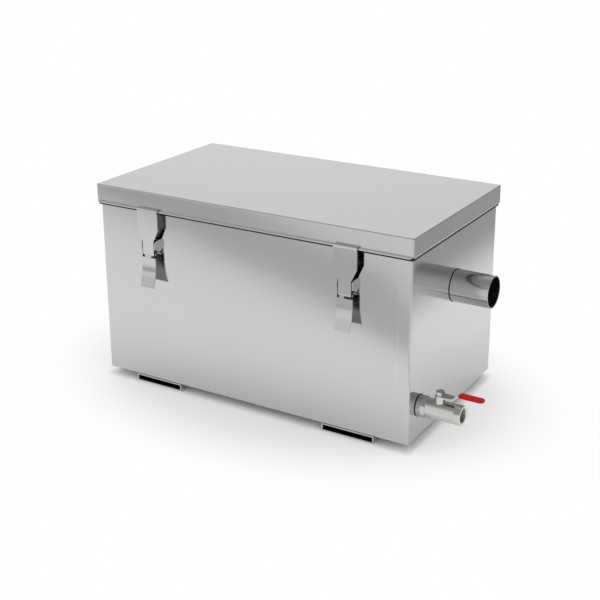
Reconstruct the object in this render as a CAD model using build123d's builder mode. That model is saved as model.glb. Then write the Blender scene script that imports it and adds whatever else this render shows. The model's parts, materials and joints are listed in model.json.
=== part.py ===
"""Stainless-steel grease trap with a clamped lift-off lid and a drain ball valve.

Units are millimetres. +X runs from the inlet to the outlet, -Y is the front, +Z is up.
The floor is z = 0, and the origin is the bottom centre of the whole object's box.
"""

from build123d import *
import os

os.makedirs("parts", exist_ok=True)

# Tank: a folded and welded sheet box on two flat tubes
tank_length = 550.0
tank_depth = 306.0
rim_height = 313.5
sheet = 1.5
fold_inner_r = 1.0
bottom_fold_r = 2.0
rim_width = 18.0
foot_height = 12.0
foot_width = 88.0
foot_wall = 2.0
foot_corner_r = 1.0
foot_spacing = 350.0

# Lid: a folded tray with a hooked lip along its two long sides
lid_sheet = 1.2
lid_side_overhang = 4.0
lid_front_overhang = 5.5
skirt_height = 29.1
lid_corner_r = 2.8
lid_edge_r = 1.8
skirt_corner_r = 3.0
lip_width = 4.0
lip_thickness = 2.5
lip_inset = 3.5
lip_edge_r = 0.7
lip_corner_r = 3.6
lid_clearance = 0.3

# Rubber seal: an angle that covers the tank's rim and shows below the skirt
seal_top = 2.4
seal_width = 14.0
seal_below_skirt = 4.1
seal_corner_r = 3.0

# Pipe stubs, turned down a little where they pass through the wall
pipe_r = 25.0
pipe_wall = 1.5
pipe_reach = 61.0
pipe_neck_r = 24.4
pipe_neck_length = 1.0
outlet_height = 199.0
inlet_height = 219.0
inlet_inside = 8.0
outlet_inside = 22.0

# Outlet tee, open at its top and bottom
tee_foot_gap = 45.0
tee_top_height = 250.0

# Baffles: hung plates let water under, and the weir lets it over
baffle_flange = 15.0
baffle_top_height = 262.0
underflow_gap = 45.0
weir_height = 150.0
inlet_baffle_at = 178.0
weir_at = 292.0
outlet_baffle_at = 404.0

# Strainer basket, its two rails and its handle
basket_sheet = 1.2
basket_from_wall = 14.0
basket_length = 138.0
basket_height = 118.0
basket_end_gap = 24.0
basket_flange = 6.5
basket_corner_r = 6.0
basket_hole_r = 5.0
basket_hole_pitch = 30.0
basket_end_margin = 14.0
basket_side_margin = 19.0
rail_height = 172.0
rail_leg = 22.0
rail_sheet = 1.5
rail_overrun = 6.0
bail_rod_r = 3.0
bail_rise = 62.0
bail_bend_r = 22.0
bail_weld_length = 24.0

# Latches: a welded bracket, a flared lever plate and a flat strap with a claw
latch_spacing = 350.0
latch_sheet = 1.5
strap_width = 38.5
strap_lip_gap = 0.7
claw_gap = 0.7
claw_lift = 0.3
claw_bend_r = 0.6
strap_shoulder_r = 2.0
tongue_width = 21.0
strap_wide_length = 33.5
strap_taper_length = 19.0
strap_pin_r = 1.5
lever_pin_r = 1.5
pin_clearance = 0.05
seat_slack = 0.02
strap_pin_drop = 69.75
pin_spacing = 12.0
lever_pin_gap = 0.3
side_gap = 0.2
arm_sheet = 1.0
lever_boss_r = 3.4
strap_boss_r = 2.6
ear_sheet = 1.2
ear_depth = 12.0
ear_above_pin = 10.5
ear_below_pin = 9.0
ear_rise = 6.0
ear_top_r = 5.5
ear_heel_r = 2.5
web_width = 25.8
web_reach = 0.3
web_below_pin = 5.3
web_straight = 9.5
tail_radius = 98.8
tail_angle = 22.6
tail_corner_r = 1.5

# Drain valve, measured outwards from the tank's right wall
valve_from_front = 35.5
valve_height = 50.6
socket_r = 16.5
socket_neck_r = 15.9
socket_neck_length = 1.2
socket_out = 9.0
socket_in = 5.0
socket_chamfer = 0.6
spigot_r = 10.0
spigot_inside = 12.0
thread_slack = 0.05
wrench_sides = 8
body_flats = 31.0
body_flats_length = 5.5
body_corner_r = 16.5
body_r = 14.8
body_end = 59.0
port_r = 7.0
stem_at = 33.0
ball_r = 10.8
cavity_r = 11.6
ball_slack = 0.1
seat_bore_r = 7.2
seat_back = 11.0
seat_depth = 6.0
insert_flats = 28.4
insert_corner_r = 15.1
insert_head = 10.0
thread_r = 10.5
thread_depth = 13.0
mouth_chamfer = 0.9
boss_r = 8.2
boss_top = 22.0
stem_r = 4.0
stem_slack = 0.06
packing_r = 6.0
packing_bottom = 17.0
packing_top = 21.4
tang_width = 3.0
tang_bottom = 8.2
tang_slack = 0.15
stem_flat_r = 3.5
stem_flats = 5.0
stem_thread_r = 2.9
lever_gap = 0.3
handle_plate = 2.0
handle_width = 12.4
hub_r = 8.8
handle_flat_end = 53.3
handle_ramp = 9.0
handle_step = 7.0
handle_end = 99.0
handle_bend_r = 3.0
handle_tip_flat = 0.5
stop_inner_r = 6.8
stop_half_angle = 10.0
stop_angle = 135.0
stop_slack_angle = 2.0
stop_top_gap = 0.3
valve_swing = 90.0
nut_flats = 12.0
nut_height = 6.2
nut_corner_r = 6.7
nut_chamfer = 0.5
stem_beyond_nut = 0.2
sleeve_start = 63.5
sleeve_wall = 0.7
sleeve_end_wall = 1.6
sleeve_edge_r = 1.1

# Levels and walls worked out from the sizes above
left_reach = pipe_reach
right_reach = max(handle_end + sleeve_end_wall, pipe_reach)
tank_x = (left_reach - right_reach) / 2
left_wall = tank_x - tank_length / 2
right_wall = tank_x + tank_length / 2
front_wall = -tank_depth / 2
underside = foot_height
floor_z = underside + sheet
rim_z = underside + rim_height
inner_length = tank_length - 2 * sheet
inner_depth = tank_depth - 2 * sheet
fold_outer_r = fold_inner_r + sheet
lid_under_z = rim_z + seal_top + lid_clearance
lid_top_z = lid_under_z + lid_sheet
skirt_z = lid_top_z - skirt_height
lip_top_z = skirt_z + lip_thickness
lid_length = tank_length + 2 * lid_side_overhang
lid_depth = tank_depth + 2 * lid_front_overhang
outlet_z = underside + outlet_height
inlet_z = underside + inlet_height
valve_y = front_wall + valve_from_front
valve_z = underside + valve_height


def keep(name, built):
    """Label a finished piece and write it to its own file."""
    built.part.label = name
    export_step(built.part, f"parts/{name}.step")


def across_wall(x):
    """A plane across the X axis, for pipes and the valve: its own axes are Y and Z."""
    return Plane.YZ.offset(x)


# Tank shell: bottom, four walls and the rim folded inwards are one sheet
with BuildPart() as tank_shell:
    with BuildSketch(Plane.XY.offset(underside)):
        with Locations((tank_x, 0)):
            RectangleRounded(tank_length, tank_depth, fold_outer_r)
    extrude(amount=rim_height)
    with BuildSketch(Plane.XY.offset(floor_z)):
        with Locations((tank_x, 0)):
            RectangleRounded(inner_length, inner_depth, fold_inner_r)
    extrude(amount=rim_height - 2 * sheet, mode=Mode.SUBTRACT)
    with BuildSketch(Plane.XY.offset(rim_z - sheet)):
        with Locations((tank_x, 0)):
            RectangleRounded(
                tank_length - 2 * rim_width, tank_depth - 2 * rim_width, fold_inner_r
            )
    extrude(amount=sheet, mode=Mode.SUBTRACT)
    with BuildSketch(across_wall(left_wall)):
        with Locations((0, inlet_z)):
            Circle(pipe_neck_r)
    extrude(amount=sheet, mode=Mode.SUBTRACT)
    with BuildSketch(across_wall(right_wall)):
        with Locations((0, outlet_z)):
            Circle(pipe_neck_r)
        with Locations((valve_y, valve_z)):
            Circle(socket_neck_r)
    extrude(amount=-sheet, mode=Mode.SUBTRACT)
    bottom_edges = tank_shell.faces().sort_by(Axis.Z)[0].edges()
    fillet(bottom_edges, bottom_fold_r)
keep("tank_shell", tank_shell)

# Rim seal: fills the space between the tank's wall and the lid's skirt
side_leg = lid_side_overhang - lid_sheet - lid_clearance
front_leg = lid_front_overhang - lid_sheet - lid_clearance
seal_z = skirt_z - seal_below_skirt
with BuildPart() as rim_seal:
    with BuildSketch(Plane.XY.offset(seal_z)):
        with Locations((tank_x, 0)):
            RectangleRounded(
                tank_length + 2 * side_leg, tank_depth + 2 * front_leg, seal_corner_r
            )
            RectangleRounded(tank_length, tank_depth, fold_outer_r, mode=Mode.SUBTRACT)
    extrude(amount=rim_z - seal_z)
    with BuildSketch(Plane.XY.offset(rim_z)):
        with Locations((tank_x, 0)):
            RectangleRounded(
                tank_length + 2 * side_leg, tank_depth + 2 * front_leg, seal_corner_r
            )
            RectangleRounded(
                tank_length - 2 * seal_width,
                tank_depth - 2 * seal_width,
                fold_inner_r,
                mode=Mode.SUBTRACT,
            )
    extrude(amount=seal_top)
keep("rim_seal", rim_seal)

# Lid: a tray with rounded folds, and a closed hem turned outwards front and rear
with BuildPart() as lid:
    with BuildSketch(Plane.XY.offset(skirt_z)):
        with Locations((tank_x, 0)):
            RectangleRounded(lid_length, lid_depth, lid_corner_r)
    extrude(amount=skirt_height)
    fillet(lid.faces().sort_by(Axis.Z)[-1].edges(), lid_edge_r)
    with BuildSketch(Plane.XY.offset(skirt_z)):
        with Locations((tank_x, 0)):
            RectangleRounded(
                lid_length - 2 * lid_sheet,
                lid_depth - 2 * lid_sheet,
                lid_corner_r - lid_sheet,
            )
    extrude(amount=skirt_height - lid_sheet, mode=Mode.SUBTRACT)
    for end in (-1, 1):
        for side in (-1, 1):
            corner = (tank_x + end * lid_length / 2, skirt_z)
            with BuildSketch(Plane.XZ.offset(-side * lid_depth / 2)):
                with BuildLine():
                    Line(corner, (corner[0] - end * skirt_corner_r, skirt_z))
                    RadiusArc(
                        (corner[0] - end * skirt_corner_r, skirt_z),
                        (corner[0], skirt_z + skirt_corner_r),
                        end * skirt_corner_r,
                    )
                    Line((corner[0], skirt_z + skirt_corner_r), corner)
                make_face()
            extrude(amount=side * lid_corner_r, mode=Mode.SUBTRACT)
    lip_length = lid_length - 2 * lip_inset
    for side in (-1, 1):
        with BuildSketch(Plane.XY.offset(skirt_z)) as lip_plan:
            with Locations((tank_x, side * (lid_depth / 2 - lid_sheet / 2 + lip_width / 2))):
                Rectangle(lip_length, lip_width + lid_sheet)
            outermost = -1 if side > 0 else 0
            fillet(lip_plan.vertices().group_by(Axis.Y)[outermost], lip_corner_r)
        extrude(amount=lip_thickness)
        nose = lid.edges().filter_by(Axis.X).group_by(Axis.Y)[outermost]
        fillet(nose, lip_edge_r)
keep("lid", lid)

# Feet: two flat tubes that run from front to rear
for name, side in (("left_foot", -1), ("right_foot", 1)):
    foot_x = tank_x + side * foot_spacing / 2
    with BuildPart() as foot:
        with BuildSketch(Plane.XZ.offset(-front_wall)):
            with Locations((foot_x, foot_height / 2)):
                RectangleRounded(foot_width, foot_height, foot_corner_r)
                Rectangle(
                    foot_width - 2 * foot_wall, foot_height - 2 * foot_wall, mode=Mode.SUBTRACT
                )
        extrude(amount=-tank_depth)
    keep(name, foot)

# Pipe stubs, welded through the two end walls
for name, wall_x, outwards, inside, height in (
    ("inlet_pipe", left_wall, -1, inlet_inside, inlet_z),
    ("outlet_pipe", right_wall, 1, outlet_inside, outlet_z),
):
    inner_end = wall_x - outwards * (sheet + inside)
    with BuildPart() as pipe:
        with BuildSketch(across_wall(inner_end)):
            with Locations((0, height)):
                Circle(pipe_neck_r)
        extrude(amount=outwards * (sheet + inside + pipe_neck_length))
        with BuildSketch(across_wall(wall_x + outwards * pipe_neck_length)):
            with Locations((0, height)):
                Circle(pipe_r)
        extrude(amount=outwards * (pipe_reach - pipe_neck_length))
        with BuildSketch(across_wall(inner_end)):
            with Locations((0, height)):
                Circle(pipe_r - pipe_wall)
        extrude(amount=outwards * (sheet + inside + pipe_reach), mode=Mode.SUBTRACT)
    keep(name, pipe)

# Outlet tee: an upright tube whose branch is butt-welded to the outlet stub
tee_x = right_wall - sheet - outlet_inside - pipe_r - pipe_wall
tee_bottom = floor_z + tee_foot_gap
tee_top = underside + tee_top_height
with BuildPart() as outlet_tee:
    with BuildSketch(Plane.XY.offset(tee_bottom)):
        with Locations((tee_x, 0)):
            Circle(pipe_r)
    extrude(amount=tee_top - tee_bottom)
    with BuildSketch(across_wall(tee_x)):
        with Locations((0, outlet_z)):
            Circle(pipe_r)
    extrude(amount=pipe_r + pipe_wall)
    with BuildSketch(Plane.XY.offset(tee_bottom)):
        with Locations((tee_x, 0)):
            Circle(pipe_r - pipe_wall)
    extrude(amount=tee_top - tee_bottom, mode=Mode.SUBTRACT)
    with BuildSketch(across_wall(tee_x)):
        with Locations((0, outlet_z)):
            Circle(pipe_r - pipe_wall)
    extrude(amount=pipe_r + pipe_wall, mode=Mode.SUBTRACT)
keep("outlet_tee", outlet_tee)

# Baffles: plates with a flange folded at each end, welded to the long walls
for name, offset_x, low, high in (
    ("inlet_baffle", inlet_baffle_at, floor_z + underflow_gap, underside + baffle_top_height),
    ("weir_baffle", weir_at, floor_z, underside + weir_height),
    ("outlet_baffle", outlet_baffle_at, floor_z + underflow_gap, underside + baffle_top_height),
):
    plate_x = left_wall + offset_x
    with BuildPart() as baffle:
        with BuildSketch(Plane.XY.offset(low)) as channel:
            with Locations((plate_x + baffle_flange / 2, 0)):
                Rectangle(baffle_flange, inner_depth)
            fillet(channel.vertices().group_by(Axis.X)[0], fold_outer_r)
            with Locations((plate_x + sheet + baffle_flange / 2, 0)):
                Rectangle(baffle_flange, inner_depth - 2 * sheet, mode=Mode.SUBTRACT)
        extrude(amount=high - low)
    keep(name, baffle)

# Basket rails: angles on the long walls that carry the basket's flange
rail_z = underside + rail_height
rail_length = basket_length + 2 * rail_overrun
rail_x = left_wall + sheet + basket_from_wall + basket_length / 2
for name, side in (("front_basket_rail", -1), ("rear_basket_rail", 1)):
    inner_y = inner_depth / 2
    with BuildPart() as rail:
        with BuildSketch(across_wall(rail_x - rail_length / 2)):
            with Locations((side * (inner_y - rail_leg / 2), rail_z - rail_sheet / 2)):
                Rectangle(rail_leg, rail_sheet)
            with Locations((side * (inner_y - rail_sheet / 2), rail_z - rail_leg / 2)):
                Rectangle(rail_sheet, rail_leg)
        extrude(amount=rail_length)
    keep(name, rail)

# Strainer basket: a perforated tray whose end flanges hang on the rails
basket_depth = inner_depth - 2 * basket_end_gap
basket_bottom = rail_z - basket_height
hole_rows = int((basket_length - 2 * basket_end_margin) // basket_hole_pitch) + 1
hole_columns = int((basket_depth - 2 * basket_end_margin) // basket_hole_pitch) + 1
side_rows = int((basket_height - 2 * basket_side_margin) // basket_hole_pitch) + 1
with BuildPart() as strainer_basket:
    with BuildSketch(Plane.XY.offset(basket_bottom)):
        with Locations((rail_x, 0)):
            RectangleRounded(basket_length, basket_depth, basket_corner_r)
    extrude(amount=basket_height)
    with BuildSketch(Plane.XY.offset(rail_z)):
        with Locations((rail_x, 0)):
            Rectangle(basket_length, basket_depth + 2 * basket_flange)
    extrude(amount=basket_sheet)
    with BuildSketch(Plane.XY.offset(basket_bottom + basket_sheet)):
        with Locations((rail_x, 0)):
            RectangleRounded(
                basket_length - 2 * basket_sheet,
                basket_depth - 2 * basket_sheet,
                basket_corner_r - basket_sheet,
            )
    extrude(amount=basket_height, mode=Mode.SUBTRACT)
    with BuildSketch(Plane.XY.offset(basket_bottom)):
        with Locations((rail_x, 0)):
            with GridLocations(basket_hole_pitch, basket_hole_pitch, hole_rows, hole_columns):
                Circle(basket_hole_r)
    extrude(amount=basket_sheet, mode=Mode.SUBTRACT)
    with BuildSketch(Plane.XZ.offset(basket_depth / 2)):
        with Locations((rail_x, basket_bottom + basket_height / 2)):
            with GridLocations(basket_hole_pitch, basket_hole_pitch, hole_rows, side_rows):
                Circle(basket_hole_r)
    extrude(amount=-basket_depth, mode=Mode.SUBTRACT)
keep("strainer_basket", strainer_basket)

# Basket handle: a bent rod, its legs welded inside the basket's end walls
leg_y = basket_depth / 2 - basket_sheet - bail_rod_r
bail_top = rail_z + bail_rise
leg_bottom = rail_z - bail_weld_length
with BuildPart() as basket_handle:
    with BuildLine(across_wall(rail_x)) as bail_path:
        FilletPolyline(
            (-leg_y, leg_bottom),
            (-leg_y, bail_top),
            (leg_y, bail_top),
            (leg_y, leg_bottom),
            radius=bail_bend_r,
        )
    with BuildSketch(Plane(origin=bail_path.line @ 0, z_dir=bail_path.line % 0)):
        Circle(bail_rod_r)
    sweep()
keep("basket_handle", basket_handle)

# Latches. Each one has a profile plane through its middle: its first axis points
# away from the tank's wall, its second axis is up, and widths run both ways from it.
strap_inner = lid_front_overhang + lip_width + strap_lip_gap
strap_outer = strap_inner + latch_sheet
knuckle_r = strap_pin_r + pin_clearance + latch_sheet
strap_pin_u = strap_outer - knuckle_r
strap_pin_z = skirt_z - strap_pin_drop
lever_pin_u = strap_inner - lever_pin_gap - lever_pin_r
lever_pin_z = strap_pin_z + pin_spacing
claw_z = lip_top_z + claw_lift
claw_tip = lid_front_overhang + claw_gap
arm_inner = tongue_width / 2 + side_gap
arm_outer = arm_inner + arm_sheet
ear_inner = arm_outer + side_gap
ear_outer = ear_inner + ear_sheet
web_front = strap_outer + web_reach
web_back = web_front - latch_sheet
web_top = strap_pin_z - web_below_pin
tail_start = web_top - web_straight
tail_centre = (web_front + tail_radius, tail_start)


def latch_planes(x, side):
    """The middle profile plane and the wall plane of a latch on the front or rear wall."""
    outwards = Vector(0, side, 0)
    on_wall = (x, side * tank_depth / 2, 0)
    profile = Plane(on_wall, x_dir=outwards, z_dir=outwards.cross(Vector(0, 0, 1)))
    face = Plane(on_wall, x_dir=Vector(0, 0, 1).cross(outwards), z_dir=outwards)
    return profile, face


def latch_bracket(profile):
    """A back plate between two ears, folded from one strip."""
    low = lever_pin_z - ear_below_pin
    high = lever_pin_z + ear_above_pin
    with BuildPart() as bracket:
        with BuildSketch(profile):
            with Locations((latch_sheet / 2, (low + high) / 2)):
                Rectangle(latch_sheet, high - low)
        extrude(amount=ear_outer, both=True)
        for side in (-1, 1):
            with BuildSketch(profile.offset(side * ear_inner)) as ear:
                with BuildLine():
                    Polyline(
                        (0, low), (ear_depth, low + ear_rise), (ear_depth, high), (0, high), close=True
                    )
                make_face()
                front_corners = ear.vertices().group_by(Axis.X)[-1].sort_by(Axis.Y)
                fillet(front_corners[-1], ear_top_r)
                fillet(front_corners[0], ear_heel_r)
                with Locations((lever_pin_u, lever_pin_z)):
                    Circle(lever_pin_r + seat_slack, mode=Mode.SUBTRACT)
            extrude(amount=side * ear_sheet)
    return bracket


def latch_lever_pin(profile):
    """A rivet, peened flush with both ears, on which the lever turns."""
    with BuildPart() as pin:
        with BuildSketch(profile):
            with Locations((lever_pin_u, lever_pin_z)):
                Circle(lever_pin_r)
        extrude(amount=ear_outer, both=True)
    return pin


def latch_lever(profile):
    """A plate that flares away from the wall, with a pivot arm welded behind each side."""
    with BuildPart() as lever:
        with BuildSketch(profile):
            with BuildLine():
                front = CenterArc(tail_centre, tail_radius, 180, tail_angle)
                back = CenterArc(tail_centre, tail_radius + latch_sheet, 180, tail_angle)
                Line(front @ 1, back @ 1)
                Polyline(front @ 0, (web_front, web_top), (web_back, web_top), back @ 0)
            make_face()
        extrude(amount=web_width / 2, both=True)
        tail_end = lever.faces().sort_by(Axis.Z)[0]
        fillet(tail_end.edges().filter_by(Axis.X, reverse=True), tail_corner_r)
        for side in (-1, 1):
            with BuildSketch(profile.offset(side * arm_inner)):
                with Locations((strap_pin_u, strap_pin_z)):
                    Circle(strap_boss_r)
                with Locations((lever_pin_u, lever_pin_z)):
                    Circle(lever_boss_r)
                make_hull()
                with BuildLine():
                    Polyline(
                        (strap_pin_u - strap_boss_r, strap_pin_z),
                        (web_front, strap_pin_z),
                        (web_front, tail_start),
                        (web_back, tail_start),
                        close=True,
                    )
                make_face()
                with Locations((strap_pin_u, strap_pin_z)):
                    Circle(strap_pin_r + seat_slack, mode=Mode.SUBTRACT)
                with Locations((lever_pin_u, lever_pin_z)):
                    Circle(lever_pin_r + pin_clearance, mode=Mode.SUBTRACT)
            extrude(amount=side * arm_sheet)
    return lever


def latch_strap_pin(profile):
    """A pin held in the lever's arms, on which the strap turns."""
    with BuildPart() as pin:
        with BuildSketch(profile):
            with Locations((strap_pin_u, strap_pin_z)):
                Circle(strap_pin_r)
        extrude(amount=arm_outer, both=True)
    return pin


def latch_strap(profile, face):
    """A flat strap with an eye rolled round its pin and its top bent into a claw."""
    claw_top_z = claw_z + latch_sheet
    wide_end_z = claw_top_z - strap_wide_length
    taper_end_z = wide_end_z - strap_taper_length
    with BuildPart() as strap:
        with BuildSketch(face.offset(strap_inner)) as outline:
            with BuildLine():
                Polyline(
                    (-strap_width / 2, claw_top_z),
                    (strap_width / 2, claw_top_z),
                    (strap_width / 2, wide_end_z),
                    (tongue_width / 2, taper_end_z),
                    (tongue_width / 2, strap_pin_z),
                    (-tongue_width / 2, strap_pin_z),
                    (-tongue_width / 2, taper_end_z),
                    (-strap_width / 2, wide_end_z),
                    close=True,
                )
            make_face()
            levels = outline.vertices().group_by(Axis.Y)
            fillet(levels[1] + levels[2], strap_shoulder_r)
        extrude(amount=latch_sheet)
        with BuildSketch(profile):
            with Locations(((claw_tip + strap_outer) / 2, claw_z + latch_sheet / 2)):
                Rectangle(strap_outer - claw_tip, latch_sheet)
        extrude(amount=strap_width / 2, both=True)
        outer_bend = (
            strap.edges()
            .filter_by(Axis.X)
            .sort_by(lambda e: e.center().Z + abs(e.center().Y))[-1]
        )
        fillet(outer_bend, claw_bend_r + latch_sheet)
        inner_bend = (
            strap.edges()
            .filter_by(Axis.X)
            .sort_by(
                lambda e: abs(e.center().Z - claw_z)
                + abs(abs(e.center().Y) - tank_depth / 2 - strap_inner)
            )[0]
        )
        fillet(inner_bend, claw_bend_r)
        with BuildSketch(profile):
            with Locations((strap_pin_u, strap_pin_z)):
                Circle(knuckle_r)
        extrude(amount=tongue_width / 2, both=True)
        with BuildSketch(profile):
            with Locations((strap_pin_u, strap_pin_z)):
                Circle(strap_pin_r + pin_clearance)
        extrude(amount=tongue_width / 2, both=True, mode=Mode.SUBTRACT)
    return strap


for place, x, side in (
    ("front_left", tank_x - latch_spacing / 2, -1),
    ("front_right", tank_x + latch_spacing / 2, -1),
    ("rear_left", tank_x - latch_spacing / 2, 1),
    ("rear_right", tank_x + latch_spacing / 2, 1),
):
    profile, face = latch_planes(x, side)
    keep(f"{place}_bracket", latch_bracket(profile))
    keep(f"{place}_lever_pin", latch_lever_pin(profile))
    keep(f"{place}_lever", latch_lever(profile))
    keep(f"{place}_strap_pin", latch_strap_pin(profile))
    keep(f"{place}_strap", latch_strap(profile, face))

# Drain valve. Its pieces are round its own axis, which runs out from the tank's wall,
# or round the stem, which stands upright on that axis.
stem_x = right_wall + stem_at
insert_end = body_end + insert_head
spigot_start = socket_out - spigot_inside
flats_end = socket_out + body_flats_length
flat_turn = 180 / wrench_sides


def along_valve(distance):
    """A plane across the valve's axis, at a distance outwards from the tank's wall."""
    return Plane((right_wall + distance, valve_y, valve_z), x_dir=(0, 1, 0), z_dir=(1, 0, 0))


def up_stem(height):
    """A level plane centred on the stem, at a height above the valve's axis."""
    return Plane((stem_x, valve_y, valve_z + height))


# Drain socket: a welded ring through the tank's wall
with BuildPart() as drain_socket:
    with BuildSketch(along_valve(-socket_in)):
        Circle(socket_neck_r)
    extrude(amount=socket_in + socket_neck_length)
    with BuildSketch(along_valve(socket_neck_length)):
        Circle(socket_r)
    extrude(amount=socket_out - socket_neck_length)
    outer_rim = drain_socket.faces().sort_by(Axis.X)[-1].edges()
    chamfer(outer_rim, socket_chamfer)
    with BuildSketch(along_valve(-socket_in)):
        Circle(spigot_r + thread_slack)
    extrude(amount=socket_in + socket_out, mode=Mode.SUBTRACT)
keep("drain_socket", drain_socket)

# Valve body: a spigot, wrench flats and a barrel that is bored from its outlet end
with BuildPart() as valve_body:
    with BuildSketch(along_valve(spigot_start)):
        Circle(spigot_r)
    extrude(amount=spigot_inside)
    with BuildSketch(along_valve(socket_out)):
        RegularPolygon(body_flats / 2, wrench_sides, major_radius=False, rotation=flat_turn)
        Circle(body_corner_r, mode=Mode.INTERSECT)
    extrude(amount=body_flats_length)
    with BuildSketch(along_valve(flats_end)):
        Circle(body_r)
    extrude(amount=body_end - flats_end)
    with BuildSketch(up_stem(0)):
        Circle(boss_r)
    extrude(amount=boss_top)
    with BuildSketch(along_valve(spigot_start)):
        Circle(port_r)
    extrude(amount=stem_at - spigot_start, mode=Mode.SUBTRACT)
    with BuildSketch(along_valve(stem_at - seat_back)):
        Circle(cavity_r)
    extrude(amount=seat_back + body_end - stem_at, mode=Mode.SUBTRACT)
    with BuildSketch(up_stem(0)):
        Circle(stem_r + stem_slack)
    extrude(amount=boss_top, mode=Mode.SUBTRACT)
    with BuildSketch(up_stem(packing_bottom)):
        Circle(packing_r)
    extrude(amount=boss_top - packing_bottom, mode=Mode.SUBTRACT)
    with BuildSketch(up_stem(boss_top)):
        with BuildLine():
            stop_start = stop_angle - stop_half_angle
            stop_outer = CenterArc((0, 0), boss_r, stop_start, 2 * stop_half_angle)
            stop_inner = CenterArc((0, 0), stop_inner_r, stop_start, 2 * stop_half_angle)
            Line(stop_outer @ 0, stop_inner @ 0)
            Line(stop_outer @ 1, stop_inner @ 1)
        make_face()
    extrude(amount=lever_gap + handle_plate - stop_top_gap)
keep("valve_body", valve_body)

# Seats: two rings turned to the ball's curve, one on each side of it
valve_section = Plane((stem_x, valve_y, valve_z), x_dir=(1, 0, 0), z_dir=(0, -1, 0))
for name, side in (("inlet_ball_seat", -1), ("outlet_ball_seat", 1)):
    with BuildPart() as seat:
        with BuildSketch(valve_section):
            with Locations(
                (side * (seat_back - seat_depth / 2), (seat_bore_r + cavity_r - seat_slack) / 2)
            ):
                Rectangle(seat_depth, cavity_r - seat_slack - seat_bore_r)
            Circle(ball_r + ball_slack, mode=Mode.SUBTRACT)
        revolve(axis=Axis((stem_x, valve_y, valve_z), (1, 0, 0)))
    keep(name, seat)

# Ball: bored along the pipe, with a slot across its top for the stem's tang
with BuildPart() as valve_ball:
    with BuildSketch(valve_section):
        Circle(ball_r)
        with Locations((0, -ball_r / 2)):
            Rectangle(2 * ball_r, ball_r, mode=Mode.SUBTRACT)
        Rectangle(2 * ball_r, 2 * port_r, mode=Mode.SUBTRACT)
    revolve(axis=Axis((stem_x, valve_y, valve_z), (1, 0, 0)))
    with BuildSketch(up_stem(tang_bottom)):
        Rectangle(tang_width + 2 * tang_slack, 2 * ball_r)
    extrude(amount=ball_r, mode=Mode.SUBTRACT)
keep("valve_ball", valve_ball)

# End insert: holds the second seat and carries the outlet's thread
with BuildPart() as valve_insert:
    with BuildSketch(along_valve(stem_at + seat_back)):
        Circle(cavity_r - thread_slack)
    extrude(amount=body_end - stem_at - seat_back)
    with BuildSketch(along_valve(body_end)):
        RegularPolygon(insert_flats / 2, wrench_sides, major_radius=False, rotation=flat_turn)
        Circle(insert_corner_r, mode=Mode.INTERSECT)
    extrude(amount=insert_head)
    with BuildSketch(along_valve(stem_at + seat_back)):
        Circle(port_r)
    extrude(amount=insert_end - stem_at - seat_back, mode=Mode.SUBTRACT)
    with BuildSketch(along_valve(insert_end)):
        Circle(thread_r)
    extrude(amount=-thread_depth, mode=Mode.SUBTRACT)
    mouth = valve_insert.faces().sort_by(Axis.X)[-1].inner_wires()[0].edges()
    chamfer(mouth, mouth_chamfer)
keep("valve_insert", valve_insert)

# Stem: a tang in the ball's slot, a round shank, two flats and a threaded end
plate_bottom = boss_top + lever_gap
plate_top = plate_bottom + handle_plate
with BuildPart() as valve_stem:
    with BuildSketch(up_stem(tang_bottom + tang_slack)):
        Circle(stem_r)
        Rectangle(tang_width, 2 * stem_r, mode=Mode.INTERSECT)
    extrude(amount=ball_r - tang_bottom)
    with BuildSketch(up_stem(ball_r + tang_slack)):
        Circle(stem_r)
    extrude(amount=boss_top - ball_r - tang_slack)
    with BuildSketch(up_stem(boss_top)):
        Circle(stem_flat_r)
        Rectangle(2 * stem_flat_r, stem_flats, mode=Mode.INTERSECT)
    extrude(amount=plate_top - boss_top)
    with BuildSketch(up_stem(plate_top)):
        Circle(stem_thread_r)
        Rectangle(2 * stem_flat_r, stem_flats, mode=Mode.INTERSECT)
    extrude(amount=nut_height + stem_beyond_nut)
keep("valve_stem", valve_stem)

# Packing ring round the stem
with BuildPart() as stem_packing:
    with BuildSketch(up_stem(packing_bottom)):
        Circle(packing_r - seat_slack)
        Circle(stem_r + stem_slack, mode=Mode.SUBTRACT)
    extrude(amount=packing_top - packing_bottom)
keep("stem_packing", stem_packing)

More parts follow.
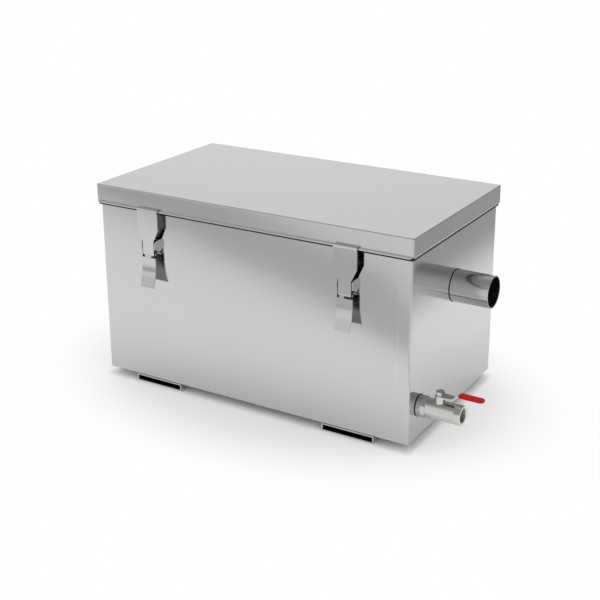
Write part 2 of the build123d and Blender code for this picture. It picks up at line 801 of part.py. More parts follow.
# Valve lever: one strip, cranked up once, tapered from a round hub notched for the stop
crank_start = handle_flat_end - stem_at
crank_end = crank_start + handle_ramp
grip_start = sleeve_start - stem_at
grip_end = handle_end - stem_at
grip_bottom = plate_bottom + handle_step
with BuildPart() as valve_lever:
    with BuildSketch(valve_section):
        with BuildLine():
            FilletPolyline(
                (-hub_r, plate_bottom),
                (crank_start, plate_bottom),
                (crank_end, grip_bottom),
                (grip_end, grip_bottom),
                radius=handle_bend_r,
            )
            offset(amount=handle_plate, side=Side.LEFT)
        make_face()
    extrude(amount=hub_r, both=True)
    with BuildSketch(up_stem(plate_bottom)) as lever_plan:
        Circle(hub_r)
        with Locations((crank_start, 0)):
            Circle(handle_width / 2)
        make_hull()
        with Locations(((crank_start + grip_end) / 2, 0)):
            Rectangle(grip_end - crank_start, handle_width)
        fillet(lever_plan.vertices().group_by(Axis.X)[-1], (handle_width - handle_tip_flat) / 2)
    extrude(amount=handle_step + handle_plate, mode=Mode.INTERSECT)
    with BuildSketch(up_stem(plate_bottom)):
        Circle(stem_flat_r + seat_slack)
        Rectangle(2 * hub_r, stem_flats + 2 * seat_slack, mode=Mode.INTERSECT)
    extrude(amount=handle_plate, mode=Mode.SUBTRACT)
    notch_start = stop_angle - stop_half_angle - stop_slack_angle
    notch_sweep = valve_swing + 2 * (stop_half_angle + stop_slack_angle)
    with BuildSketch(up_stem(plate_bottom)):
        with BuildLine():
            notch_inner = CenterArc((0, 0), stop_inner_r - side_gap, notch_start, notch_sweep)
            notch_outer = CenterArc((0, 0), hub_r + side_gap, notch_start, notch_sweep)
            Line(notch_inner @ 0, notch_outer @ 0)
            Line(notch_inner @ 1, notch_outer @ 1)
        make_face()
    extrude(amount=handle_plate, mode=Mode.SUBTRACT)
keep("valve_lever", valve_lever)

# Lever nut
with BuildPart() as lever_nut:
    with BuildSketch(up_stem(plate_top)):
        RegularPolygon(nut_flats / 2, 6, major_radius=False)
        Circle(nut_corner_r, mode=Mode.INTERSECT)
    extrude(amount=nut_height)
    chamfer(lever_nut.faces().sort_by(Axis.Z)[-1].edges(), nut_chamfer)
    with BuildSketch(up_stem(plate_top)):
        Circle(stem_thread_r + seat_slack)
    extrude(amount=nut_height, mode=Mode.SUBTRACT)
keep("lever_nut", lever_nut)

# Lever sleeve: a soft dipped grip with a closed, rounded end
sleeve_length = grip_end + sleeve_end_wall - grip_start
sleeve_width = handle_width + 2 * sleeve_wall
grip_middle = grip_bottom + handle_plate / 2
with BuildPart() as lever_sleeve:
    with BuildSketch(up_stem(grip_middle)) as sleeve_plan:
        with Locations((grip_start + sleeve_length / 2, 0)):
            Rectangle(sleeve_length, sleeve_width)
        fillet(sleeve_plan.vertices().group_by(Axis.X)[-1], (sleeve_width - handle_tip_flat) / 2)
    extrude(amount=handle_plate / 2 + sleeve_wall, both=True)
    rims = lever_sleeve.faces().filter_by(Axis.Z).edges()
    start_edges = lever_sleeve.faces().sort_by(Axis.X)[0].edges()
    fillet([e for e in rims if e not in start_edges], sleeve_edge_r)
    with BuildSketch(up_stem(grip_middle)) as plate_space:
        with Locations(((grip_start + grip_end) / 2, 0)):
            Rectangle(grip_end - grip_start, handle_width)
        fillet(plate_space.vertices().group_by(Axis.X)[-1], (handle_width - handle_tip_flat) / 2)
    extrude(amount=handle_plate / 2, both=True, mode=Mode.SUBTRACT)
keep("lever_sleeve", lever_sleeve)
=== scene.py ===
# %% [markdown]
# A stainless-steel grease trap, dressed for a studio picture.
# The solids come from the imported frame, at their real size and place. This notebook gives
# every surface its finish, adds the small details that are too fine for the solids, and
# sets up the floor, the light and the camera.

import json
from math import atan2, cos, pi, radians, sin

import bmesh
import bpy
from mathutils import Matrix, Vector


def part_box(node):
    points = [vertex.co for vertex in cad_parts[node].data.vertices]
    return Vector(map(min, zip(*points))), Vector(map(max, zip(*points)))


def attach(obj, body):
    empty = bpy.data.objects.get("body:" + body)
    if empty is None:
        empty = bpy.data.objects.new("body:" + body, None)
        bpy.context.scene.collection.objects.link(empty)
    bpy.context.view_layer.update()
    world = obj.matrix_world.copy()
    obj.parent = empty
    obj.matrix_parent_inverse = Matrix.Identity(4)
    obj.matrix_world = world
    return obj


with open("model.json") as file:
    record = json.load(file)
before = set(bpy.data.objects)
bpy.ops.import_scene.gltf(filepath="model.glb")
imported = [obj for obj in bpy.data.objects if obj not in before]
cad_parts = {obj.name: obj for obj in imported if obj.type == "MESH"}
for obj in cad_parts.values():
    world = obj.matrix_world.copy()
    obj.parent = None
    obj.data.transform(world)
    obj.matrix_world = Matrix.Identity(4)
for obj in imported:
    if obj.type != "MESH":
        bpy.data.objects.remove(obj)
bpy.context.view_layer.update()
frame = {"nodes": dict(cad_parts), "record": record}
nodes = frame["nodes"]

# %% [markdown]
# The picture's viewpoint. The camera stands in front of the trap, to its right and above
# it. Its place was worked out from the corners of the tank, and so were its lens and its
# small shift: the trap stands a little off the middle of the lens, as in a cropped picture.
# The tank's box comes first, because the camera's place is measured from it.

# %% Camera
MM = 0.001
tank_low, tank_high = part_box("tank_shell")
tank_middle_x = (tank_low.x + tank_high.x) / 2
camera_from_tank = Vector((906.9, -1497.5, 807.4)) * MM
camera_turn = radians(30.183)
camera_tilt = radians(18.233)
picture_pixels = 600
focal_pixels = 1147.28
centre_pixel = (318.0, 236.0)
sensor_mm = 36.0

lens = bpy.data.cameras.new("picture_lens")
lens.sensor_width = sensor_mm
lens.lens = focal_pixels / picture_pixels * sensor_mm
lens.shift_x = (picture_pixels / 2 - centre_pixel[0]) / picture_pixels
lens.shift_y = (centre_pixel[1] - picture_pixels / 2) / picture_pixels
camera = bpy.data.objects.new("picture_camera", lens)
bpy.context.scene.collection.objects.link(camera)
bpy.context.scene.camera = camera

right = Vector((cos(camera_turn), sin(camera_turn), 0))
back = Vector(
    (
        sin(camera_turn) * cos(camera_tilt),
        -cos(camera_turn) * cos(camera_tilt),
        sin(camera_tilt),
    )
)
turn = Matrix((right, back.cross(right), back)).transposed().to_4x4()
camera.matrix_world = Matrix.Translation(
    camera_from_tank + Vector((tank_middle_x, 0, tank_low.z))
) @ turn
print("camera at", tuple(round(v, 3) for v in camera.location))

# %% [markdown]
# Materials are built from nodes, and their sums are easier to read as Python sums. This
# small class holds one socket. Adding or multiplying two of them adds a Math node, and
# comparing them gives 1 where it is true and 0 elsewhere, which makes a mask.


# %% A socket that can be used in sums
class Value:
    """A socket of a node tree, for use in expressions."""

    def __init__(self, tree, socket):
        self.tree = tree
        self.socket = socket

    def maths(self, operation, *others):
        node = self.tree.nodes.new("ShaderNodeMath")
        node.operation = operation
        for slot, item in zip(node.inputs, (self, *others)):
            plug(self.tree, slot, item)
        return Value(self.tree, node.outputs[0])

    def __add__(self, other):
        return self.maths("ADD", other)

    __radd__ = __add__

    def __mul__(self, other):
        return self.maths("MULTIPLY", other)

    __rmul__ = __mul__

    def __sub__(self, other):
        return self.maths("SUBTRACT", other)

    def __rsub__(self, other):
        return (self * -1) + other

    def __truediv__(self, other):
        return self.maths("DIVIDE", other)

    def __rtruediv__(self, other):
        return (self ** -1) * other

    def __pow__(self, other):
        return self.maths("POWER", other)

    def __abs__(self):
        return self.maths("ABSOLUTE")

    def __gt__(self, other):
        return self.maths("GREATER_THAN", other)

    def __lt__(self, other):
        return self.maths("LESS_THAN", other)

    def clamped(self):
        """Held between 0 and 1."""
        return self.maths("MAXIMUM", 0.0).maths("MINIMUM", 1.0)

    def rising(self, start, width):
        """From 0 at the start evenly up to 1, a width further on."""
        return ((self - start) / width).clamped()


def plug(tree, slot, item):
    """Link a Value to a socket, or set the socket to a plain number or colour."""
    if isinstance(item, Value):
        tree.links.new(item.socket, slot)
    else:
        slot.default_value = item


# %% [markdown]
# Every other node comes from one method. It takes the node's type, its settings, and the
# values of its sockets by name. Some nodes have several sockets of one name, and those
# sockets are given by number. A new material starts with an empty tree.


# %% A node tree with one call for every node
class Recipe:
    """A node tree with one short call to add a node."""

    def __init__(self, tree):
        self.tree = tree
        tree.nodes.clear()

    def node(self, kind, settings=None, output=0, numbered=None, **sockets):
        """Add a node, and give back the output that is asked for."""
        made = self.tree.nodes.new(kind)
        for name, setting in (settings or {}).items():
            setattr(made, name, setting)
        for name, item in sockets.items():
            plug(self.tree, made.inputs[name.replace("_", " ")], item)
        for number, item in (numbered or {}).items():
            plug(self.tree, made.inputs[number], item)
        return Value(self.tree, made.outputs[output]) if made.outputs else made

    def axes(self, vector):
        """The three parts of a vector."""
        return [self.node("ShaderNodeSeparateXYZ", output=part, Vector=vector) for part in "XYZ"]


def new_material(name):
    material = bpy.data.materials.new(name)
    material.use_nodes = True
    print("material", name)
    return material, Recipe(material.node_tree)


def grey(level):
    return (level, level, level, 1.0)


# %% [markdown]
# Polished stainless sheet is nearly a mirror. What makes it look like metal is what it
# reflects, so its own colour is one light grey. Three things are laid over that. A rolled
# sheet is never quite flat, and a slow wave bends its reflections. The polishing belt
# leaves fine scratches along the sheet, so the gloss changes quickly across them and
# slowly along them. Hands leave faint patches that are a little less sharp.
# A scratch has to run level on the walls and lengthwise on the lid, so there are two
# stretched noises, one for each, and the end walls show only the first.
# Each noise scale below is about the number of features in a metre.

# %% Polished steel
tank_half_length = (tank_high.x - tank_low.x) / 2
wave_scale = 5.0
hand_mark_scale = 14.0
along_belt = 6.0
across_belt = 1800.0
scratch_tone = 0.03
hand_mark_tone = 0.012
hand_mark_gloss = 0.04


def stretched(recipe, place, stretch, detail):
    """A noise whose scale differs along the three axes, less its middle value."""
    laid = recipe.node("ShaderNodeMapping", Vector=place, Scale=stretch)
    return recipe.node("ShaderNodeTexNoise", Vector=laid, Scale=1.0, Detail=detail) - 0.5


def belt_scratches(recipe, place, east):
    """Fine lines along the sheet: level on the walls, and lengthwise on the lid."""
    level_grain = stretched(recipe, place, (along_belt, along_belt, across_belt), 2.0)
    long_grain = stretched(recipe, place, (along_belt, across_belt, along_belt), 2.0)
    off_end = (tank_half_length - abs(east - tank_middle_x)) / MM
    return level_grain + long_grain * off_end.clamped()


def steel(name, tint, roughness, wave_mm, grain, marks=None, relief=None):
    """Polished steel: slow waves, belt grain, and hand marks.

    Marks change the tone and the gloss at some places, and relief is a height in metres
    that bends the reflections further.
    """
    material, recipe = new_material(name)
    place = recipe.node("ShaderNodeTexCoord", output="Object")
    east, north, up = recipe.axes(place)
    wave = recipe.node("ShaderNodeTexNoise", Vector=place, Scale=wave_scale, Detail=1.0)
    patches = recipe.node("ShaderNodeTexNoise", Vector=place, Scale=hand_mark_scale, Detail=3.0)
    hands = patches - 0.5
    scratches = belt_scratches(recipe, place, east)
    height = wave * (wave_mm * MM)
    if relief:
        height = height + relief(east, up)
    bump = recipe.node("ShaderNodeBump", Distance=1.0, Height=height)
    tone = scratches * scratch_tone + hands * hand_mark_tone + tint
    gloss = scratches * grain + hands * hand_mark_gloss + roughness
    if marks:
        tone, gloss = marks(recipe, (east, north, up), tone, gloss)
    shader = recipe.node(
        "ShaderNodeBsdfPrincipled",
        Base_Color=tone,
        Metallic=1.0,
        Roughness=gloss.clamped(),
        Normal=bump,
    )
    recipe.node("ShaderNodeOutputMaterial", Surface=shader)
    return material


# %% [markdown]
# One function makes all the steels, and only a few numbers differ. Wide sheets have waves
# of 0.2 mm, and small fittings hardly wave, because they are stiffer. The sheets inside
# the tank were never polished, so they keep the duller skin of the rolling mill. The pipes
# are drawn tube.

# %% Plain steels
sheet = {"tint": 0.605, "roughness": 0.11, "wave_mm": 0.20, "grain": 0.10}
fitting = {"tint": 0.60, "roughness": 0.10, "wave_mm": 0.02, "grain": 0.10}
sheet_steel = steel("polished_sheet_steel", **sheet)
fitting_steel = steel("pressed_fitting_steel", **fitting)
rolled_steel = steel(
    "rolled_sheet_steel", tint=0.575, roughness=0.35, wave_mm=0.20, grain=0.15
)
tube_steel = steel("drawn_tube_steel", tint=0.58, roughness=0.16, wave_mm=0.02, grain=0.10)

# %% [markdown]
# The tank is one solid, but its outside is polished and its inside is left as rolled. Two
# materials would need its faces sorted, and the solids are left as they are. So one
# material looks at the place: past about the middle of the wall it is the inside.
# The front wall also has a faint upright line near its right corner, as where it lies over a
# flange of the end wall. It is too shallow to model, so it is a change of tone and gloss: the
# raised tone is a painted highlight, for the light that the low ridge would reflect.

# %% Tank steel
wall_middle = 0.7 * MM
unpolished_tone = 0.03
unpolished_gloss = 0.24
seam_from_corner = 20.5 * MM
seam_half_width = 0.5 * MM
seam_bottom = 100.0 * MM
seam_top = 292.0 * MM
# The seam's raised tone is a painted highlight, and its raised roughness is the seam's own
# finish.
seam_highlight_strength = 0.10


def seam_line(place):
    """One in the middle of the faint upright line on the front wall."""
    east, north, up = place
    off_line = abs(east - (tank_high.x - seam_from_corner))
    on_line = (1 - off_line / seam_half_width).clamped()
    on_front = north < tank_low.y + MM
    return on_line * on_front * (up > seam_bottom) * (up < seam_top)


def tank_inside(place):
    """One everywhere inside the tank."""
    east, north, up = place
    between_ends = (east > tank_low.x + wall_middle) * (east < tank_high.x - wall_middle)
    between_sides = (north > tank_low.y + wall_middle) * (north < tank_high.y - wall_middle)
    return between_ends * between_sides * (up > tank_low.z + wall_middle)


def tank_marks(recipe, place, tone, gloss):
    """The tank's outside has the seam line with its painted highlight, and its inside is left as
    rolled.
    """
    line = seam_line(place) * seam_highlight_strength
    inside = tank_inside(place)
    return tone + line - inside * unpolished_tone, gloss + line + inside * unpolished_gloss


tank_steel = steel("polished_tank_steel", **sheet, marks=tank_marks)

# %% [markdown]
# The lower edge of the lid's two end skirts is rolled out a little, and catches the light as a
# thin bright line. The roll is about as small as the sheet is thick, so it is shown by the
# finish: a steep relief turns the reflection there, and the tone is raised as a painted
# highlight.

# %% Lid steel
lid_low, lid_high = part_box("lid")
lip_height = 1.6 * MM
lip_slope = 3.0
# The rolled edge's raised tone is a painted highlight.
lip_highlight_tone = 0.35
end_skin = 0.2 * MM


def on_lid_end(east):
    """One on the outer face of the lid's two end skirts."""
    half_length = (lid_high.x - lid_low.x) / 2
    from_middle = abs(east - (lid_low.x + lid_high.x) / 2)
    return from_middle > half_length - end_skin


def rolled_lip(east, up):
    """The height of the rolled edge, which grows downwards."""
    below_top = (lid_low.z + lip_height - up).maths("MAXIMUM", 0.0)
    return below_top * lip_slope * on_lid_end(east)


def lip_painted_highlight(recipe, place, tone, gloss):
    """The rolled edge gets a painted highlight, brighter than the skirt."""
    east, _, up = place
    lip = (up < lid_low.z + lip_height) * on_lid_end(east)
    return tone + lip * lip_highlight_tone, gloss


lid_steel = steel("polished_lid_steel", **sheet, marks=lip_painted_highlight, relief=rolled_lip)

# %% [markdown]
# A closed latch pulls its strap tight over the lid's edge, and the strap leans out by a
# degree or two. The solids hang straight. So small a turn is seen only in what the strap
# reflects, so it is given as a relief that grows with the height. Near the top, where the
# strap bends over, the relief falls off again.

# %% Strap steel
_, strap_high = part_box("front_left_strap")
strap_lean = 0.025
strap_bend_height = 4.5 * MM
strap_bend_slope = 0.10


def leaning_strap(east, up):
    """A closed strap leans out at its top, and rounds off at the bend."""
    past_bend = (up - (strap_high.z - strap_bend_height)).maths("MAXIMUM", 0.0)
    return up * strap_lean - past_bend * strap_bend_slope


strap_steel = steel("pressed_strap_steel", **fitting, relief=leaning_strap)

# %% [markdown]
# The arms of a latch lever and the back of its finger plate are painted dark, as painted shade
# for the gaps between lever, strap and wall. The front of the plate is as bright as the rest.
# The material finds the arms by their height, and the back by the way the surface faces: the
# Normal output of the Texture Coordinate node points out of the surface. The painted shade fades
# down the plate.

# %% Lever steel
strap_pin_low, strap_pin_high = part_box("front_right_strap_pin")
plate_below_pin = 5.3 * MM
plate_outside_pin = 1.85 * MM
plate_top = (strap_pin_low.z + strap_pin_high.z) / 2 - plate_below_pin
plate_back = abs(strap_pin_low.y + strap_pin_high.y) / 2 + plate_outside_pin
# Painted shade on the arms and the wall side of the plate: a darker tone and a duller gloss,
# fading over this reach down the plate.
shade_reach = 25.0 * MM
least_shade = 0.35
shade_tone = 0.93
shade_gloss = 0.25
faces_wall_below = -0.3


def lever_painted_shade(recipe, place, tone, gloss):
    """The lever's arms and the back of its plate get painted shade."""
    _, north, up = place
    _, facing_north, _ = recipe.axes(recipe.node("ShaderNodeTexCoord", output="Normal"))
    outward = facing_north * north.maths("SIGN")
    arm = up > plate_top
    faces_wall = outward < faces_wall_below
    behind_plate = abs(north) < plate_back
    shade = up.rising(plate_top - shade_reach, shade_reach) * (1 - least_shade) + least_shade
    dark = arm.maths("MAXIMUM", faces_wall.maths("MAXIMUM", behind_plate) * shade)
    return tone * (1 - dark * shade_tone), gloss + dark * shade_gloss


lever_steel = steel("lever_steel_painted_shade", **fitting, marks=lever_painted_shade)

# %% [markdown]
# The drain valve is brass under a thin nickel plate. Outside it is bright like the steel,
# and a touch warmer. Bare brass shows in the thread of its mouth. These pieces are small
# and turned, with no grain to follow, so an even, fine mottle in the gloss is enough.

# %% Valve finishes
mottle_scale = 400.0


def turned_metal(name, colour, roughness, mottle):
    """A turned or plated metal, with a fine mottle in its gloss."""
    material, recipe = new_material(name)
    place = recipe.node("ShaderNodeTexCoord", output="Object")
    fine = recipe.node("ShaderNodeTexNoise", Vector=place, Scale=mottle_scale, Detail=2.0)
    shader = recipe.node(
        "ShaderNodeBsdfPrincipled",
        Base_Color=(*colour, 1.0),
        Metallic=1.0,
        Roughness=((fine - 0.5) * mottle + roughness).clamped(),
    )
    recipe.node("ShaderNodeOutputMaterial", Surface=shader)
    return material


plated_valve = turned_metal("nickel_plate", (0.66, 0.655, 0.64), roughness=0.16, mottle=0.10)
bare_brass = turned_metal("bare_brass", (0.30, 0.275, 0.19), roughness=0.30, mottle=0.15)
chromed_ball = turned_metal("chromed_ball", (0.68, 0.68, 0.69), roughness=0.05, mottle=0.02)

# %% [markdown]
# Rubber, vinyl and seat plastic don't conduct, so they have a body colour under a soft
# gloss. The black seal is matt. The red sleeve was dipped, which leaves a smooth skin
# with slow ripples. The ripples are a relief, and their height is given in millimetres.

# %% Rubber and plastic finishes
skin_gloss_change = 0.2


def soft_finish(name, colour, roughness, ripple_mm, ripple_scale, shine=0.5):
    """A rubber or plastic skin, with ripples of a given height and pitch."""
    material, recipe = new_material(name)
    place = recipe.node("ShaderNodeTexCoord", output="Object")
    skin = recipe.node("ShaderNodeTexNoise", Vector=place, Scale=ripple_scale, Detail=2.0)
    bump = recipe.node("ShaderNodeBump", Distance=1.0, Height=skin * (ripple_mm * MM))
    shader = recipe.node(
        "ShaderNodeBsdfPrincipled",
        Base_Color=(*colour, 1.0),
        Roughness=((skin - 0.5) * skin_gloss_change + roughness).clamped(),
        Normal=bump,
        Specular_IOR_Level=shine,
    )
    recipe.node("ShaderNodeOutputMaterial", Surface=shader)
    return material


seal_rubber = soft_finish(
    "seal_rubber", (0.006, 0.006, 0.006), roughness=0.7, ripple_mm=0.05, ripple_scale=300.0
)
red_vinyl = soft_finish(
    "red_dipped_vinyl",
    (0.50, 0.004, 0.003),
    roughness=0.30,
    ripple_mm=0.15,
    ripple_scale=120.0,
    shine=0.15,
)
seat_plastic = soft_finish(
    "seat_plastic", (0.80, 0.80, 0.77), roughness=0.45, ripple_mm=0.02, ripple_scale=300.0
)

# %% [markdown]
# Each solid gets its finish by the material slot that the part's record gives it, unless
# it is one of the few with a finish of its own. The solids themselves are never moved or
# reshaped.

# %% Give the solids their finishes
finish_of_slot = {
    "polished_stainless": sheet_steel,
    "stainless_fittings": fitting_steel,
    "plated_brass": plated_valve,
    "chrome_ball": chromed_ball,
    "white_seat": seat_plastic,
    "black_rubber": seal_rubber,
    "red_grip": red_vinyl,
}
own_finish = {"tank_shell": tank_steel, "lid": lid_steel}
for name in ("inlet_pipe", "outlet_pipe", "outlet_tee"):
    own_finish[name] = tube_steel
for corner in ("front_left", "front_right", "rear_left", "rear_right"):
    own_finish[f"{corner}_strap"] = strap_steel
    own_finish[f"{corner}_lever"] = lever_steel
for name in ("inlet_baffle", "weir_baffle", "outlet_baffle"):
    own_finish[name] = rolled_steel
for name in ("strainer_basket", "front_basket_rail", "rear_basket_rail"):
    own_finish[name] = rolled_steel

slot_of_node = {row["node"]: row["material_slot"] for row in frame["record"]["subparts"]}
for name, solid in nodes.items():
    slot_finish = finish_of_slot[slot_of_node[name]]
    solid.data.materials.clear()
    solid.data.materials.append(own_finish.get(name, slot_finish))
print(len(nodes), "solids have a finish,", len(own_finish), "of them their own")

# %% [markdown]
# Each pipe and the drain socket is welded to the wall all round. The bead is made nearly black,
# as painted shade for the dark line where pipe and wall meet, with a colour between blue-black
# and brown. Two colours are mixed by a noise of small blotches, and the same noise changes the
# gloss.

# %% Weld finish
blotch_scale = 160.0
blotch_start = 0.45
blotch_sharpness = 4
weld_roughness = 0.45
weld_gloss_change = 0.3
# These near-black colours are painted shade for the dark line at the joint.
blue_black = (0.012, 0.012, 0.015, 1.0)
dark_brown = (0.055, 0.040, 0.030, 1.0)

weld_shade_finish, recipe = new_material("weld_bead_painted_shade")
place = recipe.node("ShaderNodeTexCoord", output="Object")
blotch = recipe.node("ShaderNodeTexNoise", Vector=place, Scale=blotch_scale, Detail=2.0)
brown_share = ((blotch - blotch_start) * blotch_sharpness).clamped()
tint = recipe.node(
    "ShaderNodeMix",
    {"data_type": "RGBA"},
    output=2,
    numbered={0: brown_share, 6: blue_black, 7: dark_brown},
)
shader = recipe.node(
    "ShaderNodeBsdfPrincipled",
    Base_Color=tint,
    Metallic=0.6,
    Roughness=((blotch - 0.5) * weld_gloss_change + weld_roughness).clamped(),
)
recipe.node("ShaderNodeOutputMaterial", Surface=shader)

# %% [markdown]
# The weld bead is a thin ring in the corner between pipe and wall, with the small ripples
# that a welder's steps leave. A torus would give the ring but not the ripples. So a small
# circle is spun round the pipe's axis, and each point is then moved out or in a little by
# its angle round the pipe.
# Every new piece ends the same way, in one function: its faces are turned outwards, and it is
# given its finish and the body that it rides on.


# %% Weld bead
def finish_piece(shape, name, material, body):
    """Turn a bmesh into a smooth piece that rides on a body."""
    bmesh.ops.recalc_face_normals(shape, faces=shape.faces)
    for face in shape.faces:
        face.smooth = True
    mesh = bpy.data.meshes.new(name)
    shape.to_mesh(mesh)
    shape.free()
    mesh.materials.append(material)
    piece = bpy.data.objects.new(name, mesh)
    bpy.context.scene.collection.objects.link(piece)
    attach(piece, body)
    print(name, "has", len(mesh.polygons), "faces")
    return piece


ripple_pitch = 1.5 * MM
ripple_swell = 0.12
steps_per_ripple = 4
merge_distance = 0.001 * MM


def weld_bead(name, centre, ring_radius, bead_radius):
    """A rippled bead round an axis along X."""
    ripples = round(2 * pi * ring_radius / ripple_pitch)
    shape = bmesh.new()
    bmesh.ops.create_circle(shape, segments=10, radius=bead_radius)
    bmesh.ops.rotate(shape, verts=shape.verts, matrix=Matrix.Rotation(radians(90), 3, "X"))
    bmesh.ops.translate(shape, verts=shape.verts, vec=(0, 0, ring_radius))
    bmesh.ops.spin(
        shape,
        geom=shape.verts[:] + shape.edges[:],
        axis=(1, 0, 0),
        angle=2 * pi,
        steps=ripples * steps_per_ripple,
        use_merge=True,
    )
    bmesh.ops.remove_doubles(shape, verts=shape.verts, dist=merge_distance)
    for vert in shape.verts:
        outward = Vector((0, vert.co.y, vert.co.z)).normalized()
        middle = outward * ring_radius
        swell = 1 + ripple_swell * cos(ripples * atan2(vert.co.z, vert.co.y))
        vert.co = middle + (vert.co - middle) * swell
    bmesh.ops.translate(shape, verts=shape.verts, vec=centre)
    return finish_piece(shape, name, weld_shade_finish, "tank")


# %% [markdown]
# The three beads stand where the two pipes and the drain socket meet the end walls. Their
# axes are read from the solids' boxes, so that each bead is centred on its own pipe.


# %% The three weld beads
def axis_of(node_name):
    """The depth and height of the axis of a round piece that lies along X."""
    low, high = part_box(node_name)
    return (low.y + high.y) / 2, (low.z + high.z) / 2


pipe_radius = 25.0 * MM
socket_radius = 16.5 * MM
bead_radius = 0.6 * MM
bead_from_wall = 0.4 * MM
for name, node_name, wall_x, way, ring_radius in (
    ("outlet_pipe_weld", "outlet_pipe", tank_high.x, 1, pipe_radius),
    ("inlet_pipe_weld", "inlet_pipe", tank_low.x, -1, pipe_radius),
    ("drain_socket_weld", "drain_socket", tank_high.x, 1, socket_radius),
):
    y, z = axis_of(node_name)
    centre = Vector((wall_x + way * bead_from_wall, y, z))
    weld_bead(name, centre, ring_radius, bead_radius)

# %% [markdown]
# The drain's mouth has a pipe thread inside, cut in bare brass. It is a helix, so its
# section, a small triangle, is spun round the valve's axis with a step along the axis
# added to every step of the turn. A cut thread has sharp edges, so its faces stay flat.

# %% Drain thread
_, insert_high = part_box("valve_insert")
drain_y, drain_z = axis_of("valve_insert")
thread_radius = 10.5 * MM
thread_pitch = 1.8 * MM
thread_height = 0.85 * MM
thread_turns = 6
steps_per_turn = 72
mouth_chamfer = 0.9 * MM

shape = bmesh.new()
root_start = shape.verts.new((0, 0, thread_radius))
crest = shape.verts.new((thread_pitch / 2, 0, thread_radius - thread_height))
root_end = shape.verts.new((thread_pitch, 0, thread_radius))
shape.faces.new((root_start, crest, root_end))
bmesh.ops.spin(
    shape,
    geom=shape.verts[:] + shape.edges[:] + shape.faces[:],
    axis=(1, 0, 0),
    dvec=(thread_pitch / steps_per_turn, 0, 0),
    angle=2 * pi * thread_turns,
    steps=steps_per_turn * thread_turns,
)
bmesh.ops.remove_doubles(shape, verts=shape.verts, dist=merge_distance)
thread_start = insert_high.x - mouth_chamfer - thread_pitch * (thread_turns + 1)
bmesh.ops.translate(shape, verts=shape.verts, vec=(thread_start, drain_y, drain_z))
drain_thread = finish_piece(shape, "drain_thread", bare_brass, "tank")
for polygon in drain_thread.data.polygons:
    polygon.use_smooth = False

# %% [markdown]
# The floor is one large flat sheet. A single face is enough, because only its finish
# changes over it.

# %% Floor
floor_half = 12.0
shape = bmesh.new()
bmesh.ops.create_grid(shape, x_segments=1, y_segments=1, size=floor_half)
floor_mesh = bpy.data.meshes.new("studio_floor")
shape.to_mesh(floor_mesh)
shape.free()
floor = bpy.data.objects.new("studio_floor", floor_mesh)
bpy.context.scene.collection.objects.link(floor)
print("floor is", 2 * floor_half, "m wide")

# %% [markdown]
# Close to the trap the floor is mostly matt paint, so that it keeps the trap's shadow.
# Further out the camera sees it fade to pure white, as a studio sheet does when it is lit
# from below. The fade follows an oval round the trap, because an oval has no corners that
# would show as kinks in the shadow.
# Under the tank nothing is whitened, or the dark line where it stands would be lost.
# Metal sees a fade of its own, which goes by the distance from the walls.

# %% How the floor fades to white
floor_paint, recipe = new_material("studio_floor_paint")
east, north, _ = recipe.axes(recipe.node("ShaderNodeTexCoord", output="Object"))
tank_half_depth = (tank_high.y - tank_low.y) / 2
from_middle = abs(east - tank_middle_x)
from_axis = abs(north)


def fading(distance, power):
    """One at no distance, about a third at a distance of 1, and 0 far out."""
    return (distance ** power * -1).maths("EXPONENT")


past_end = (from_middle - tank_half_length).maths("MAXIMUM", 0.0)
past_side = (from_axis - tank_half_depth).maths("MAXIMUM", 0.0)
reach = (past_end * past_end + past_side * past_side) ** 0.5
dark_line = 5.3 * MM
beside = 1 - fading(reach / dark_line, 2)

oval_reach = 0.17
oval_edge = 0.9
oval_power = 3.5
oval_end = (from_middle / (tank_half_length + oval_reach)) ** 2
oval_side = (from_axis / (tank_half_depth + oval_reach)) ** 2
oval = (oval_end + oval_side) / oval_edge ** 2
camera_share = 0.29
in_view = (1 - fading(oval, oval_power) * (1 - camera_share)) * beside

metal_fade = 0.15
metal_share = 0.13
in_metal = (1 - fading(reach / metal_fade, 2) * (1 - metal_share)) * beside

seen_by_camera = recipe.node("ShaderNodeLightPath", output="Is Camera Ray")
seen_through = recipe.node("ShaderNodeLightPath", output="Is Transmission Ray")
seen_in_metal = recipe.node("ShaderNodeLightPath", output="Is Glossy Ray")
whitened = (seen_by_camera + seen_through) * in_view + seen_in_metal * in_metal
oval_half_length = oval_edge * (tank_half_length + oval_reach)
print("the oval's half length is", round(oval_half_length, 3), "m")

# %% [markdown]
# Polished walls show the studio around them, and a studio isn't white all over. In front
# a soft dark strip crosses the floor. It narrows to the right, and on its left part it
# bends nearer to the trap. Beyond it, by the camera, the floor stays a little dim, and so
# does the floor behind the trap, most of all on the right. Only metal sees these: they
# are put on for glossy rays and light nothing.
# The strip's place is in metres from the trap's middle, towards the camera and to its
# right.

# %% What metal sees of the floor
to_camera = east * sin(camera_turn) - north * cos(camera_turn)
to_right = east * cos(camera_turn) + north * sin(camera_turn)

strip_distance = 0.578
strip_slant = 0.08
strip_width = 0.085
strip_taper = 0.06
strip_dark = 0.36
strip_fade = 0.09
bend_nearer = 0.055
bend_narrower = 0.04
bend = to_right.rising(-0.5, 0.3)
strip_middle = to_right * strip_slant + strip_distance - bend * bend_nearer
strip_half_width = strip_width - to_right * strip_taper - bend * bend_narrower
widths = (to_camera - strip_middle) / strip_half_width
squared = widths * widths
strip = (strip_dark - to_right * strip_fade) / (squared * squared + 1)

beyond_depth = 0.12
by_camera_depth = 0.16
beyond_strip = to_camera.rising(0.55, 0.2) * beyond_depth
by_camera = to_camera.rising(0.62, 0.15) * to_right.rising(-0.4, 0.3) * by_camera_depth

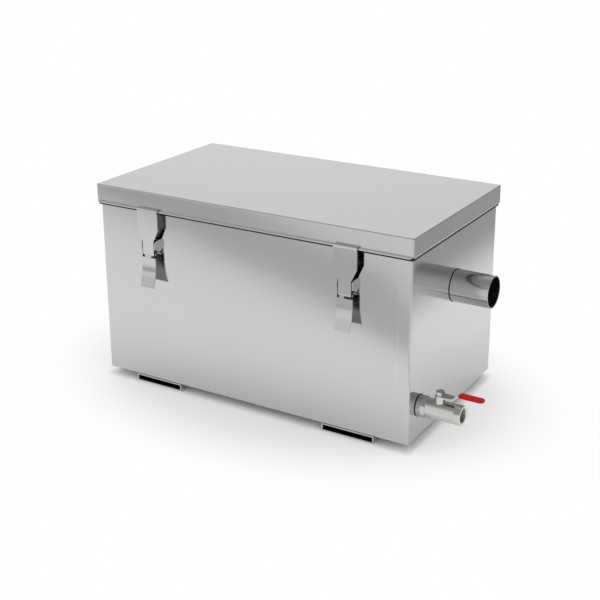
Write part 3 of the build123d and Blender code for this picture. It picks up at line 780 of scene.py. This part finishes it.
behind_right_depth = 0.57
far_behind_depth = 0.25
behind_right = north.rising(0.05, 0.2) * east.rising(0.45, 0.10) * behind_right_depth
far_behind = north.rising(0.25, 0.1) * (1 - east.rising(0.28, 0.06)) * far_behind_depth

dims = strip + beyond_strip + by_camera + behind_right + far_behind
metal_level = (1 - dims).clamped()
print("the dark strip is", round(strip_distance - bend_nearer, 3), "m in front")

# %% [markdown]
# The floor's shader is made of three. Paint takes the shadow, and a glow of strength 1 is
# pure white. They are mixed by how far the place is whitened. For metal the result is
# then mixed with black, by how dark the place looks in it.

# %% Floor finish
paint_level = 0.88
level = 1 - seen_in_metal * (1 - metal_level)
paint = recipe.node("ShaderNodeBsdfDiffuse", Color=grey(paint_level))
glow = recipe.node("ShaderNodeEmission", Color=grey(1.0))
black = recipe.node("ShaderNodeBsdfDiffuse", Color=grey(0.0))


def mixed(first, second, factor):
    """Two shaders, mixed by a factor."""
    return recipe.node("ShaderNodeMixShader", numbered={1: first, 2: second}, Fac=factor)


lit_floor = mixed(paint, glow, whitened.clamped())
recipe.node("ShaderNodeOutputMaterial", Surface=mixed(black, lit_floor, level))
floor_mesh.materials.append(floor_paint)

# %% [markdown]
# A large even dome lights the trap from all round, which gives a soft shadow and no hard
# spots. Lamps would show as spots in every polished wall. Metal would show the plain dome
# as plain white, so metal alone sees the tones of a room in it: brightest behind the
# trap, less bright behind the camera, and dim at the sides. It is dimmer still towards
# the rear right, and a low light stands in front on the left.
# What isn't mirrored, such as the floor with its shadow, is lit by the plain dome.

# %% Sky
dome_strength = 1.05
dim_sides = 0.32
behind_trap_light = 0.60
behind_camera_light = 0.42
rear_right_depth = 0.30
low_front_light = 0.35

world = bpy.data.worlds.new("studio_sky")
bpy.context.scene.world = world
world.use_nodes = True
sky = Recipe(world.node_tree)
heading = sky.node("ShaderNodeTexCoord", output="Generated")
right_part, back_part, up_part = sky.axes(heading)
to_camera_part = right_part * sin(camera_turn) - back_part * cos(camera_turn)
rear_right_part = (right_part * sin(camera_turn) + back_part * cos(camera_turn)).clamped()

behind_trap = (to_camera_part * -1).clamped() ** 2 * behind_trap_light
behind_camera = to_camera_part.clamped() ** 2 * behind_camera_light
dim_room = behind_trap + behind_camera + dim_sides
rear_right_corner = rear_right_part ** 8 * rear_right_depth
low_down = 1 - up_part.rising(0.55, 0.25)
in_front = (back_part * -1.3).clamped()
on_left = (0.3 - right_part * 3).clamped()
low_in_front = low_down * in_front * on_left * low_front_light
metal_level = dim_room - rear_right_corner + low_in_front

seen_in_metal = sky.node("ShaderNodeLightPath", output="Is Glossy Ray")
strength = dome_strength - seen_in_metal * (dome_strength - metal_level)
dome = sky.node("ShaderNodeBackground", Color=grey(1.0), Strength=strength)
sky.node("ShaderNodeOutputWorld", Surface=dome)
bpy.context.scene.view_settings.view_transform = "Standard"
print("dome strength", dome_strength)
